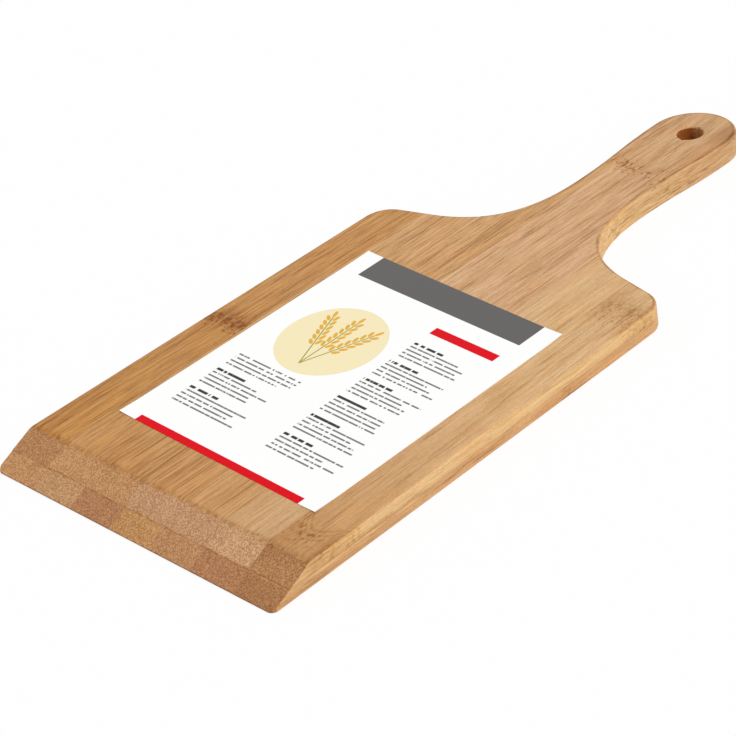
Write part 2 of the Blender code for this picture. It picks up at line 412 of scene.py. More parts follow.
def carve_lath(ply, number):
    """One lath of the board, between its two seams, from the front edge to where it runs out."""
    seam_left, seam_right = seam_places(ply)[number - 1 : number + 1]
    sides = [abs(seam) for seam in (seam_left, seam_right) if abs(seam) < HALF_WIDTH]
    holds_hole = seam_left < 0 < seam_right
    forth = stations(0.0 if ply == "lower" else GLUE_FORTH, sides + [0.0] * holds_hole)
    width = half_width(forth)
    left = np.clip(seam_left + JOINT_GAP / 2, -width, width)
    right = np.clip(seam_right - JOINT_GAP / 2, -width, width)
    heights, closed = ply_heights(ply), np.ones(len(forth) - 1, bool)
    skins = [skin(left, right, forth, heights, TOP_RADIUS, closed, closed)]
    if holds_hole:
        middle = np.sqrt(np.maximum(HOLE_RADIUS**2 - (forth - HOLE_FORTH) ** 2, 0.0))
        middle = np.where(middle > HOLE_TIP, middle, 0.0)
        beside = (middle[:-1] > 0) | (middle[1:] > 0)
        skins = [
            skin(left, -middle, forth, heights, TOP_RADIUS, closed, beside),
            skin(middle, right, forth, heights, TOP_RADIUS, beside, closed),
        ]
    return make_piece(f"{ply}_lath_{number}", skins)


laths = {
    (ply, number): carve_lath(ply, number)
    for ply in ("lower", "upper")
    for number in range(1, LATHS + 1)
}
for (ply, number), lath in laths.items():
    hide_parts(f"{ply}_strip_{number}")

# %% [markdown]
# ## Shader sums
#
# A shader is a sum over nodes, and sums read best as sums. Field wraps a socket, so that + - * /
# on it add Math nodes. Finish holds a material and has one method that adds any other node: its
# settings are set first, then its sockets are filled with numbers or linked to fields.

# %% Fields and finishes
class Field:
    """A value that varies over a surface, held by a socket of a finish."""

    def __init__(self, finish, socket):
        self.finish = finish
        self.socket = socket

    def __add__(self, other):
        return self.finish.math("ADD", self, other)

    def __sub__(self, other):
        return self.finish.math("SUBTRACT", self, other)

    def __rsub__(self, other):
        return self.finish.math("SUBTRACT", other, self)

    def __mul__(self, other):
        return self.finish.math("MULTIPLY", self, other)

    def __truediv__(self, other):
        return self.finish.math("DIVIDE", self, other)

    def __abs__(self):
        return self.finish.math("ABSOLUTE", self)

    __radd__ = __add__
    __rmul__ = __mul__


class Finish:
    """A Principled material and the nodes that feed it."""

    def __init__(self, name):
        self.material = bpy.data.materials.new(name)
        self.material.use_nodes = True
        self.tree = self.material.node_tree
        self.shader = self.tree.nodes["Principled BSDF"]

    def fill(self, socket, value):
        """Links a field to a socket, or sets the socket to a number, vector or colour."""
        if isinstance(value, Field):
            self.tree.links.new(value.socket, socket)
        else:
            socket.default_value = value

    def set(self, **values):
        """Fills sockets of the shader, each named with underscores for spaces."""
        for name, value in values.items():
            self.fill(self.shader.inputs[name.replace("_", " ")], value)

    def node(self, kind, settings, sockets, output=0):
        """Adds a node: its settings first, then its sockets. Gives one of its outputs."""
        made = self.tree.nodes.new(kind)
        for name, value in settings.items():
            setattr(made, name, value)
        for key, value in sockets.items():
            self.fill(made.inputs[key], value)
        return Field(self, made.outputs[output])

    def math(self, operation, *values):
        """A Math node on fields and numbers."""
        return self.node("ShaderNodeMath", {"operation": operation}, dict(enumerate(values)))

    def split(self, vector):
        """The three parts of a vector, as fields."""
        return [self.node("ShaderNodeSeparateXYZ", {}, {0: vector}, axis) for axis in "XYZ"]

    def place_mm(self):
        """Object coordinates in millimetres, as three fields."""
        place = self.node("ShaderNodeTexCoord", {}, {}, "Object")
        return self.split(
            self.node("ShaderNodeVectorMath", {"operation": "SCALE"}, {0: place, "Scale": 1000.0})
        )

    def facing(self):
        """The parts of the direction that the surface faces, on the object's own axes."""
        return self.split(self.node("ShaderNodeTexCoord", {}, {}, "Normal"))

    def noise(self, x, y, z, detail=2.0):
        """Smooth noise from 0 to 1 about 0.5, one lump to each unit of its coordinates."""
        place = self.node("ShaderNodeCombineXYZ", {}, {0: x, 1: y, 2: z})
        sockets = {"Vector": place, "Scale": 1.0, "Detail": detail}
        return self.node("ShaderNodeTexNoise", {}, sockets)

    def cells(self, x, y, z):
        """Distance to the nearest of scattered points, about one to each unit."""
        place = self.node("ShaderNodeCombineXYZ", {}, {0: x, 1: y, 2: z})
        return self.node("ShaderNodeTexVoronoi", {}, {"Vector": place, "Scale": 1.0})

    def rise(self, value, low, high, start=0.0, end=1.0):
        """A smooth step from start to end, as value goes from low to high."""
        settings = {"interpolation_type": "SMOOTHSTEP"}
        sockets = {
            "Value": value,
            "From Min": low,
            "From Max": high,
            "To Min": start,
            "To Max": end,
        }
        return self.node("ShaderNodeMapRange", settings, sockets)

    def spot(self, value, inner, outer):
        """1 where a distance is under the inner limit, fading to 0 at the outer one."""
        return self.rise(value, inner, outer, 1.0, 0.0)

    def blend(self, factor, first, second):
        """The first colour where factor is 0 and the second where it is 1."""
        sockets = {0: factor, 6: first, 7: second}
        return self.node("ShaderNodeMix", {"data_type": "RGBA"}, sockets, 2)

    def tint(self, colour, shares, amount=1.0):
        """A colour multiplied channel by channel, as far as the amount says."""
        settings = {"data_type": "RGBA", "blend_type": "MULTIPLY"}
        return self.node("ShaderNodeMix", settings, {0: amount, 6: colour, 7: (*shares, 1.0)}, 2)

    def bump(self, height, depth):
        """A normal that is tipped by a height from 0 to 1, with a depth in metres."""
        sockets = {"Height": height, "Distance": depth, "Strength": 1.0}
        return self.node("ShaderNodeBump", {}, sockets)


# %% [markdown]
# ## Bamboo
#
# A bamboo stem has no rings. Its wall is pale pith with dark bundles of fibre that run the whole
# length, so that a lath shows specks on its cut end and long streaks on its faces. Both are read
# from noise in three dimensions, whose lumps are half a millimetre wide. For the faces they are
# some centimetres long, with short flecks between them. For a cut end, which is told from the way
# the surface faces, they are short, because there the bundles are seen from their ends.
#
# Where the stem had a knuckle, the bundles swerve and cross. On a lath that shows as a ragged row
# of small broken rings, with a soft dark band behind it and pits in front.
#
# A pair of numbers below, such as GRIP_TONE_MM, says where a change starts and where it ends.

# %% Grain and knuckles
BEND_REACH_MM = 8.0
WANDER_MM = 5.0
RING_RADIUS, RING_EDGE = 0.36, (0.06, 0.20)
ROW_EDGE_MM = (1.4, 4.2)
PIT_EDGE, PITS_IN_FRONT_MM, PITS_EDGE_MM = (0.20, 0.36), 4.0, (1.5, 4.0)
BAND_FRONT_MM, BAND_BACK_MM = (-7.0, 1.0), (2.0, 12.0)
TRAIL_FRONT_MM, TRAIL_BACK_MM = (-18.0, -2.0), (-1.0, 4.0)
BOWL_HALF_WIDTH_MM, BOWL_DEPTH_MM, BOWL_SPACING_MM = 7.0, 4.5, 1.4
BOWL_EDGE_MM, BOWLS_EDGE_MM = (0.2, 1.0), (1.0, 6.0)
Knuckle = namedtuple("Knuckle", "place_mm rings ring_mm band bowls", defaults=(0.0,))


def grain(finish, x, z, forth, seed, knuckles):
    """Coordinates across and down the grain. They drift slowly along the lath, and swerve where
    it passes a knuckle."""
    shift = 1.8 * (finish.noise(x / 13.0, forth / 65.0 + seed, z / 13.0) - 0.5)
    for knuckle in knuckles:
        swerve = finish.noise(x / 2.6, 0.3 * seed + knuckle.place_mm, z / 2.6) - 0.5
        near = finish.spot(abs(forth - knuckle.place_mm), 0.0, BEND_REACH_MM)
        shift = shift + 4.0 * swerve * near
    return x + shift, z + 0.6 * shift


def knuckle_marks(finish, x, z, forth, seed, knuckle, middle_mm):
    """How dark a knuckle is. A ring is all places at one distance from one of many scattered
    points, and a bowl is a parabola across the lath, repeated at a pitch."""
    wander = finish.noise(x / 6.0, 0.7 * seed + knuckle.place_mm, z / 6.0) - 0.5
    off = forth - knuckle.place_mm + WANDER_MM * wander
    broken = finish.rise(finish.noise(x / 1.6, forth / 2.2 + seed, z / 1.6), 0.38, 0.62)
    size = knuckle.ring_mm
    centre = finish.cells(x / size, forth / (1.5 * size) + seed, z / size)
    ring = finish.spot(abs(centre - RING_RADIUS), *RING_EDGE) * (0.2 + 0.8 * broken)
    row = ring * finish.spot(abs(off), *ROW_EDGE_MM)
    pit = finish.spot(finish.cells(x / 1.5, forth / 2.2 + seed, z / 1.5), *PIT_EDGE)
    pits = pit * finish.spot(abs(off + PITS_IN_FRONT_MM), *PITS_EDGE_MM)
    soft = finish.rise(off, *BAND_FRONT_MM) * finish.spot(off, *BAND_BACK_MM)
    soft = soft * (0.45 + 0.55 * broken)
    streak = finish.rise(finish.noise(x / 0.9, forth / 30.0 + seed, z / 0.9), 0.45, 0.66)
    trail = streak * finish.rise(off, *TRAIL_FRONT_MM) * finish.spot(off, *TRAIL_BACK_MM)
    marks = knuckle.rings * (0.9 * row + 0.9 * pits) + knuckle.band * (0.6 * soft + 0.5 * trail)
    if knuckle.bowls:
        bend = (x - middle_mm) / BOWL_HALF_WIDTH_MM
        depth = off - BOWL_DEPTH_MM * bend * bend
        lines = finish.spot(finish.math("PINGPONG", depth, BOWL_SPACING_MM), *BOWL_EDGE_MM)
        bowls = lines * finish.spot(abs(depth), *BOWLS_EDGE_MM) * (0.4 + 0.6 * broken)
        marks = marks + knuckle.bowls * bowls
    return marks


# %% The tone under the grain
FLUSH = (1.00, 0.95, 0.87)
GRIP_SIDE_SHADE = (0.84, 0.78, 0.77)
BLADE_TONE_MM = (0.0, 160.0)
GRIP_TONE_MM = (284.0, 302.0)
GRIP_SIDE_SHADE_MM = (252.0, 308.0)
TURNS_SIDEWAYS = (0.6, 0.85)


def even_tone(finish, stem, x, z, forth, facing, seed):
    """A lath's tone without its grain. It changes from the front backwards and again at the grip,
    is another on the sides, and reddens in patches. The side tone is paler partly because the
    stem's wall shows edge-on there and partly as painted light, and painted shade browns the
    sides towards the grip."""
    further = finish.rise(forth, *BLADE_TONE_MM)
    tone = finish.blend(further, (*stem.front, 1.0), (*stem.back, 1.0))
    if stem.grip:
        tone = finish.blend(finish.rise(forth, *GRIP_TONE_MM), tone, (*stem.grip, 1.0))
    # Painted shade: the sides brown towards the grip.
    side = finish.tint((*stem.side, 1.0), GRIP_SIDE_SHADE, finish.rise(forth, *GRIP_SIDE_SHADE_MM))
    # The side tone: partly the stem's wall seen edge-on, partly painted light.
    tone = finish.blend(finish.rise(abs(facing[0]), *TURNS_SIDEWAYS), tone, side)
    flush = finish.rise(finish.noise(x / 7.0, forth / 22.0 - seed, z / 7.0), 0.38, 0.66)
    return finish.tint(tone, FLUSH, flush)


# %% Edges worn and shaded, painted shade at the grip, and the drilled hole with painted light
WORN_AND_SHADE_DARK = (0.62, 0.48, 0.32)
BLADE_LINE_MM, GRIP_LINE_MM, LINE_EDGE_MM = 0.9, 1.2, (0.2, 0.85)
LINE_MOVES_MM = (248.0, 260.0)
CLEAN_FROM_MM, CLEAN_TO_MM, CLEAN_X_MM = (15.0, 45.0), (175.0, 190.0), (0.0, 10.0)
SWEEP_MM, SWEEP_EDGE_MM = 246.0, (4.0, 18.0)
CREST_MM = 1000 * (CREST_START + CREST_END) / 2 - 0.8
CREST_EDGE_MM = (0.3, 1.8)
TURNS_UP, LIES_FLAT, TURNS_FORWARD = (0.1, 0.5), (0.5, 0.8), (0.6, 0.9)
GRIP_END_SHADE = (0.76, 0.72, 0.68)
GRIP_END_SHADE_X_MM, GRIP_END_SHADE_FORTH_MM, GRIP_END_SHADE_RADIUS_MM = 18.0, 328.0, 17.0
BURNT = (0.56, 0.28, 0.05)
# Painted light for the shaded far right of the hole's wall.
PAINTED_HOLE_LIGHT = (1.50, 1.60, 1.35)
WALL_MM = 0.15
SCORCH_STARTS_MM, SCORCH_ENDS_MM, HOLE_LIGHT_MM = (-8.0, -1.0), (0.0, 7.0), (0.0, 6.0)


def worn_and_shaded_edges(finish, x, z, forth, facing, cut, blotch, seed):
    """How dark the edges are: a line round the top, the bevel's crest and the front edge. The line
    round the top is partly wear and partly painted shade on the rounded arris, which damps the
    lamp's highlight there. It lies a little further in on the grip, is faint along the right
    side of the blade, and fades where the sides sweep into the neck."""
    edge = finish.node("ShaderNodeAttribute", {"attribute_name": "edge_mm"}, {}, "Fac")
    line_mm = finish.rise(forth, *LINE_MOVES_MM, BLADE_LINE_MM, GRIP_LINE_MM)
    line = finish.spot(abs(edge - line_mm), *LINE_EDGE_MM) * finish.rise(facing[2], *TURNS_UP)
    clean = finish.rise(forth, *CLEAN_FROM_MM) * finish.spot(forth, *CLEAN_TO_MM)
    clean = clean * finish.rise(x, *CLEAN_X_MM)
    swept = finish.spot(abs(forth - SWEEP_MM), *SWEEP_EDGE_MM)
    line = line * (1 - cut) * (1 - 0.85 * clean) * (1 - 0.7 * swept)
    flaked = finish.rise(finish.noise(x / 1.3, forth / 3.0 + seed, z / 1.3), 0.42, 0.62)
    crest = finish.spot(abs(forth - CREST_MM + 3.0 * blotch), *CREST_EDGE_MM)
    crest = crest * (0.15 + 0.6 * flaked) * finish.rise(facing[2], *LIES_FLAT)
    nose = finish.rise(0 - facing[1], *TURNS_FORWARD)
    return finish.math("MAXIMUM", finish.math("MAXIMUM", line, crest), nose)


def painted_grip_end_shade(finish, x, forth, facing):
    """Painted shade on the top at the right of the grip's end: a soft round patch."""
    off_x, off_y = x - GRIP_END_SHADE_X_MM, forth - GRIP_END_SHADE_FORTH_MM
    distance = finish.math("SQRT", off_x * off_x + off_y * off_y)
    return finish.spot(distance, 0.0, GRIP_END_SHADE_RADIUS_MM) * finish.rise(facing[2], *TURNS_UP)


def drilled(finish, colour, x, forth):
    """A colour with the wall of the hanging hole in it: scorched by the drill, but for the far
    right of it, which faces away from the lamp and is lightened with painted light."""
    back = forth - 1000 * HOLE_FORTH
    beyond = finish.math("SQRT", x * x + back * back) - 1000 * HOLE_RADIUS
    wall = finish.spot(beyond, 0.0, WALL_MM)
    slant = x + back
    scorch = finish.rise(slant, *SCORCH_STARTS_MM, 0.7, 1.0)
    scorch = scorch * finish.spot(slant, *SCORCH_ENDS_MM)
    colour = finish.tint(colour, BURNT, wall * scorch)
    # Painted light: the far right of the wall is lightened as if the lamp reached it.
    return finish.tint(colour, PAINTED_HOLE_LIGHT, wall * finish.rise(slant, *HOLE_LIGHT_MM))


# %% The bamboo finish
FACE_DARK, FACE_LIGHT, FACE_LEVEL = (0.60, 0.50, 0.38), (1.18, 1.26, 1.42), 0.70
END_DARK, END_LIGHT, END_LEVEL = (0.68, 0.61, 0.62), (1.17, 1.28, 1.66), 0.50
KNUCKLE_DARK = (0.50, 0.31, 0.05)
GLUE_DARK = (0.55, 0.45, 0.36)
GLUE_EDGE_MM, SEAM_EDGE_MM = (0.06, 0.30), (0.05, 0.28)
FRONT_CUT, BACK_CUT = (0.32, 0.35), (0.65, 0.90)
FIBRE_MM = 0.45
FIBRE_RELIEF = 0.00002


def bamboo(name, stem, seed, sides_mm):
    """The finish of one lath. The stem gives its tones at the front, further back, on its side, on
    its cut end and at the grip, how strong its streaks are, and its knuckles. The seed sets it
    apart from the others, and sides_mm gives the seams or the board's sides beside it."""
    finish = Finish(name)
    x, y, z = finish.place_mm()
    facing = finish.facing()
    forth = y - 1000 * FRONT
    across, depth = grain(finish, x, z, forth, seed, stem.knuckles)

    tone = even_tone(finish, stem, x, z, forth, facing, seed)
    slow = finish.noise(across / 6.0, forth / 150.0 + seed, depth / 6.0) - 0.5
    broad = finish.noise(across / 1.4, forth / 60.0 + seed, depth / 1.4) - 0.5
    fine = finish.noise(across / FIBRE_MM, forth / 10.0 + seed, depth / FIBRE_MM, 1.0) - 0.5
    flecks = finish.noise(across / FIBRE_MM, forth / 1.5 + seed, depth / FIBRE_MM, 1.0) - 0.5
    thin = finish.rise(finish.noise(across / 0.7, forth / 28.0 + seed, depth / 0.7), 0.50, 0.66)
    patch = finish.rise(finish.noise(across / 5.0, forth / 30.0 - seed, depth / 5.0), 0.40, 0.60)
    lines = thin * (0.35 + 0.65 * patch)
    streaks = 0.5 * slow + 0.8 * broad - 0.5 * lines + 1.05 * fine
    face = FACE_LEVEL + stem.contrast * streaks + 0.6 * flecks
    face = finish.blend(face, finish.tint(tone, FACE_DARK), finish.tint(tone, FACE_LIGHT))

    specks = finish.cells(x / FIBRE_MM, forth / 0.9 + seed, z / FIBRE_MM) - 0.5
    blotch = finish.noise(x / 2.2, forth / 4.0 + seed, z / 2.2) - 0.5
    end = END_LEVEL + 0.5 * slow + 0.7 * blotch + 2.4 * specks
    end_tone = (*stem.end, 1.0)
    end = finish.blend(end, finish.tint(end_tone, END_DARK), finish.tint(end_tone, END_LIGHT))
    front_cut = finish.rise(0.25 * blotch - facing[1], *FRONT_CUT)
    cut = finish.math("MAXIMUM", front_cut, finish.rise(facing[1], *BACK_CUT))
    colour = finish.blend(cut, face, end)

    marks = 0.0
    for knuckle in stem.knuckles:
        marks = marks + knuckle_marks(finish, x, z, forth, seed, knuckle, sum(sides_mm) / 2)
    colour = finish.tint(colour, KNUCKLE_DARK, marks)

    patchy = finish.noise(x / 9.0, forth / 20.0 + seed, z / 9.0)
    patchy = finish.rise(patchy, 0.38, 0.62, 0.15, 1.0)
    glue = finish.spot(abs(z - 1000 * GLUE_LINE), *GLUE_EDGE_MM) * patchy * patchy
    for seam_mm in [side_mm for side_mm in sides_mm if abs(side_mm) < 1000 * HALF_WIDTH]:
        seam = finish.spot(abs(x - seam_mm), *SEAM_EDGE_MM)
        glue = finish.math("MAXIMUM", glue, 0.35 * seam)
    colour = finish.tint(colour, GLUE_DARK, 0.7 * glue)
    worn_and_shade = worn_and_shaded_edges(finish, x, z, forth, facing, cut, blotch, seed)
    # Darker edges: wear, and painted shade along the rounded arris.
    colour = finish.tint(colour, WORN_AND_SHADE_DARK, worn_and_shade * (0.35 + 0.65 * patchy))
    # Painted shade towards the grip's end.
    colour = finish.tint(colour, GRIP_END_SHADE, painted_grip_end_shade(finish, x, forth, facing))
    if min(sides_mm) < 0 < max(sides_mm):
        colour = drilled(finish, colour, x, forth)

    relief = (fine - 0.4 * lines) * (1 - cut) + specks * cut - 1.5 * marks
    finish.set(Base_Color=colour, Roughness=0.58 + 0.3 * fine, Specular_IOR_Level=0.25,
               Normal=finish.bump(relief, FIBRE_RELIEF))
    return finish.material


# %% [markdown]
# Each lath comes from another stem, so each has its own tones, streaks and knuckles. The one
# along the left side is browner than the rest, and the sides of the board are paler: partly
# because there the laths show the inside of the stem's wall, and partly as painted light. The
# three laths that run on into the grip have a tone of their own there. The lower layer only shows
# on the bevel, along the sides and from below.

# %% Each lath's own bamboo
Stem = namedtuple("Stem", "front back side end contrast knuckles grip", defaults=(None,))
HONEY = (0.480, 0.222, 0.054)
AMBER = (0.520, 0.257, 0.087)
GOLD = (0.515, 0.252, 0.077)
FAWN = (0.530, 0.275, 0.102)
BISCUIT = (0.578, 0.318, 0.130)
TAN = (0.595, 0.337, 0.153)
SAND = (0.608, 0.354, 0.173)
STRAW = (0.640, 0.395, 0.168)
CREAM = (0.635, 0.390, 0.180)
BUFF = (0.535, 0.280, 0.116)
OAT = (0.565, 0.326, 0.147)
OCHRE = (0.491, 0.240, 0.075)
COPPER = (0.482, 0.232, 0.083)
UMBER = (0.450, 0.212, 0.069)
RUSSET = (0.437, 0.192, 0.068)
CHESTNUT = (0.388, 0.172, 0.055)
LATH_BAMBOO = {
    "upper": [
        Stem(HONEY, GOLD, BISCUIT, UMBER, 1.5, [Knuckle(110.0, 1.1, 2.8, 0.95)]),
        Stem(OCHRE, BISCUIT, BISCUIT, AMBER, 1.4, []),
        Stem(OCHRE, BISCUIT, BISCUIT, AMBER, 1.5, [Knuckle(287.0, 0.5, 3.0, 0.2)], TAN),
        Stem(AMBER, SAND, BISCUIT, BUFF, 1.2, [Knuckle(286.0, 0.9, 3.4, 0.3)], OAT),
        Stem(FAWN, SAND, STRAW, BUFF, 1.1, [Knuckle(281.0, 0.6, 3.0, 0.2)], BUFF),
        Stem(OAT, CREAM, STRAW, BISCUIT, 0.7, []),
        Stem(FAWN, CREAM, STRAW, UMBER, 0.8,
             [Knuckle(20.0, 0.0, 3.0, 0.40), Knuckle(30.0, 0.4, 3.4, 0.3, 0.4),
              Knuckle(189.0, 0.40, 1.3, 0.25), Knuckle(196.0, 0.35, 1.3, 0.55)]),
    ],
    "lower": [
        Stem(AMBER, BISCUIT, BISCUIT, AMBER, 1.2, [Knuckle(170.0, 0.7, 2.6, 0.6)]),
        Stem(FAWN, BISCUIT, BISCUIT, FAWN, 1.2, [Knuckle(62.0, 0.6, 3.0, 0.5)]),
        Stem(RUSSET, AMBER, BISCUIT, RUSSET, 1.2, [Knuckle(240.0, 0.6, 2.6, 0.6)]),
        Stem(AMBER, TAN, BISCUIT, GOLD, 1.2, [Knuckle(130.0, 0.5, 3.0, 0.5)]),
        Stem(AMBER, BISCUIT, STRAW, COPPER, 1.2, [Knuckle(205.0, 0.7, 2.6, 0.6)]),
        Stem(RUSSET, AMBER, BISCUIT, RUSSET, 1.2, [Knuckle(85.0, 0.5, 3.0, 0.5)]),
        Stem(AMBER, BISCUIT, BISCUIT, CHESTNUT, 1.0, [Knuckle(150.0, 0.2, 2.6, 0.3)]),
    ],
}
SEED_STEP = 3.7
LOWER_SEED = 41.0

for (ply, number), lath in laths.items():
    seed = SEED_STEP * number + (LOWER_SEED if ply == "lower" else 0.0)
    sides_mm = [1000 * seam for seam in seam_places(ply)[number - 1 : number + 1]]
    finish = bamboo(lath.name, LATH_BAMBOO[ply][number - 1], seed, sides_mm)
    lath.data.materials.append(finish)
print("nodes in one finish:", len(laths["upper", 4].data.materials[0].node_tree.nodes))

# %% [markdown]
# ## The label
#
# A sheet of smooth paper lies on the top face, held by a little glue, so that its corners lift by
# a hair. Its ends are neither quite square to its sides nor quite parallel. The sheet is made like
# a lath, as two height maps between two sides. Each row of it is then slid, the more the further
# from the middle, by a slope that changes evenly from one end's to the other's.

# %% The paper sheet
LABEL_LOW, LABEL_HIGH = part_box("label_sheet")
NEAR_SLOPE = math.tan(math.radians(-2.20))
FAR_SLOPE = math.tan(math.radians(-4.10))
PAPER_THICKNESS = 0.00012
PAPER_REST = 0.00004
CORNER_LIFT = 0.00030
LIFT_REACH = 0.014
LABEL_ROWS = 60
LABEL_MIDDLE = (LABEL_LOW.x + LABEL_HIGH.x) / 2
LABEL_HALF = (LABEL_HIGH.x - LABEL_LOW.x) / 2
MEAN_FALL = LABEL_HALF * (NEAR_SLOPE + FAR_SLOPE) / 2
LABEL_START = LABEL_LOW.y - FRONT - MEAN_FALL
LABEL_LENGTH = LABEL_HIGH.y - LABEL_LOW.y + 2 * MEAN_FALL


def paper_heights(across, forth):
    """The sheet's two faces: flat, but for a lift that grows towards each corner as a square."""
    side = LABEL_HALF - np.abs(across - LABEL_MIDDLE)
    end = LABEL_LENGTH / 2 - np.abs(forth - LABEL_START - LABEL_LENGTH / 2)
    near = np.clip(1 - (side + end) / LIFT_REACH, 0.0, 1.0)
    under = THICKNESS + PAPER_REST + CORNER_LIFT * near**2
    return under + PAPER_THICKNESS, under


def paper_sheet():
    """The sheet as a skin, of which each point is slid along the board by its x times the slope
    there: the near end's, plus the share of the way to the far end times the difference."""
    forth = LABEL_START + LABEL_LENGTH * np.linspace(0.0, 1.0, LABEL_ROWS)
    left = np.full(LABEL_ROWS, LABEL_MIDDLE - LABEL_HALF)
    right = left + 2 * LABEL_HALF
    closed = np.ones(LABEL_ROWS - 1, bool)
    points, faces = skin(left, right, forth, paper_heights, LIFT_REACH, closed, closed)
    share = (points[:, 1] - FRONT - LABEL_START) / LABEL_LENGTH
    slope = NEAR_SLOPE + share * (FAR_SLOPE - NEAR_SLOPE)
    points[:, 1] += (points[:, 0] - LABEL_MIDDLE) * slope
    return make_piece("paper_label", [(points, faces)])


label = paper_sheet()
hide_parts("label_sheet")

# %% [markdown]
# The print is ink in the paper's surface, so it is drawn in the material, in millimetres across
# and along the sheet: the sum that slid the sheet's points is solved for the distance along it. It
# is a plain design of a grey band, a red rule, three ears of wheat on a pale disc, and blocks of
# dashes where a label has its small print.
#
# An ear is one grain, an ellipse that leans outwards: taking the distance along the ear modulo a
# pitch repeats the grain, and the absolute distance from the stem mirrors it. A block of dashes
# is one line that is repeated in the same way. Noise breaks it into dashes, a hash of the line's
# number ends it, every sixth line is left out, and the line after it is a short, dark heading.

# %% Shapes to print
PRINT_EDGE = 0.06
OVAL_EDGE = (0.8, 1.15)
GRAIN_PITCH = 3.3
GRAIN_LEAN = math.radians(27)
GRAIN_OUT, GRAIN_HALF_LENGTH, GRAIN_HALF_WIDTH = 1.75, 2.0, 0.85
TIP_BEYOND, TIP_HALF_LENGTH, TIP_HALF_WIDTH = 1.2, 2.2, 0.8
EAR_START, EAR_END, EAR_HALF_WIDTH = 13.0, 32.8, 5.0
STEM_HALF_WIDTH = 0.28
LINE_PITCH = 2.3
LINES_IN_BLOCK = 6
LINE_HEIGHT, HEADING_HEIGHT = (0.15, 0.22), (0.26, 0.33)
WORD_WIDTH, WORD_EDGE = 1.1, (0.33, 0.40)
RAGGED_SHARE, HEADING_SHARE = 0.3, 0.45
ROW_SEED = 5.3


def inside_box(finish, u, v, low_u, high_u, low_v, high_v):
    """1 inside a rectangle of the sheet, 0 outside."""
    beyond_u = abs(u - (low_u + high_u) / 2) - (high_u - low_u) / 2
    beyond_v = abs(v - (low_v + high_v) / 2) - (high_v - low_v) / 2
    return finish.spot(finish.math("MAXIMUM", beyond_u, beyond_v), -PRINT_EDGE, PRINT_EDGE)


def oval(finish, long_way, short_way, half_length, half_width):
    """1 inside an ellipse about (0, 0), 0 outside."""
    shares = long_way * long_way / half_length**2 + short_way * short_way / half_width**2
    return finish.spot(shares, *OVAL_EDGE)


def wheat_ear(finish, u, v, lean):
    """Masks of an ear and its stem, whose foot is at (0, 0) and which leans by an angle."""
    side = u * math.cos(lean) - v * math.sin(lean)
    along = u * math.sin(lean) + v * math.cos(lean)
    step = finish.math("MODULO", along - EAR_START, GRAIN_PITCH) - GRAIN_PITCH / 2
    out = abs(side) - GRAIN_OUT
    long_way = step * math.cos(GRAIN_LEAN) + out * math.sin(GRAIN_LEAN)
    short_way = out * math.cos(GRAIN_LEAN) - step * math.sin(GRAIN_LEAN)
    grains = oval(finish, long_way, short_way, GRAIN_HALF_LENGTH, GRAIN_HALF_WIDTH)
    ear_box = (-EAR_HALF_WIDTH, EAR_HALF_WIDTH, EAR_START, EAR_END)
    grains = grains * inside_box(finish, side, along, *ear_box)
    tip = oval(finish, along - EAR_END - TIP_BEYOND, side, TIP_HALF_LENGTH, TIP_HALF_WIDTH)
    stem = inside_box(finish, side, along, -STEM_HALF_WIDTH, STEM_HALF_WIDTH, 0.0, EAR_END)
    return finish.math("MAXIMUM", grains, tip), stem


def dashes(finish, u, v, low_u, high_u, low_v, high_v):
    """Masks of a block's lines of dashes and of its headings."""
    width = high_u - low_u
    row = finish.math("FLOOR", v / LINE_PITCH)
    place = finish.math("MODULO", row, LINES_IN_BLOCK)
    chance = finish.node("ShaderNodeTexWhiteNoise", {"noise_dimensions": "1D"}, {"W": row + low_u})
    ends = finish.spot(u - high_u + width * RAGGED_SHARE * chance, -0.05, 0.05)
    words = finish.rise(finish.noise(u / WORD_WIDTH, ROW_SEED * row, low_u, 0.0), *WORD_EDGE)
    height = abs(v / LINE_PITCH - row - 0.5)
    block = inside_box(finish, u, v, low_u, high_u, low_v, high_v)
    line = finish.spot(height, *LINE_HEIGHT) * words * ends * finish.rise(place, 0.3, 0.7)
    is_heading = finish.rise(place, LINES_IN_BLOCK - 1.7, LINES_IN_BLOCK - 1.3)
    heading_end = low_u + HEADING_SHARE * width
    short = finish.spot(u, heading_end, heading_end + 0.01 * width)
    heading = finish.spot(height, *HEADING_HEIGHT) * words * short * is_heading
    return block * line * (1 - is_heading), block * heading


# %% The printed paper
PAPER_WHITE = (0.96, 0.96, 0.955, 1.0)
BAND_GREY = (0.129, 0.122, 0.120, 1.0)
RULE_RED = (0.710, 0.003, 0.011, 1.0)
DISC_CREAM = (0.900, 0.790, 0.500, 1.0)
GRAIN_GOLD = (0.760, 0.430, 0.060, 1.0)
STEM_OLIVE = (0.330, 0.330, 0.060, 1.0)
SMALL_PRINT = (0.200, 0.195, 0.190, 1.0)
HEADING_INK = (0.045, 0.043, 0.042, 1.0)
BAND_BOX = (-45.4, 45.4, 117.2, 140.0)
END_RULE_BOX = (-45.2, 45.8, -5.0, 3.5)
SHORT_RULE_BOX = (10.0, 44.0, 103.5, 108.0)
DISC_U, DISC_V, DISC_RADIUS = -19.0, 78.0, 23.0
EAR_FOOT = 17.5
EAR_LEANS = (-22, 22, 0)
BLOCKS = ((10, 44, 14, 97), (-44, -8, 14, 53))


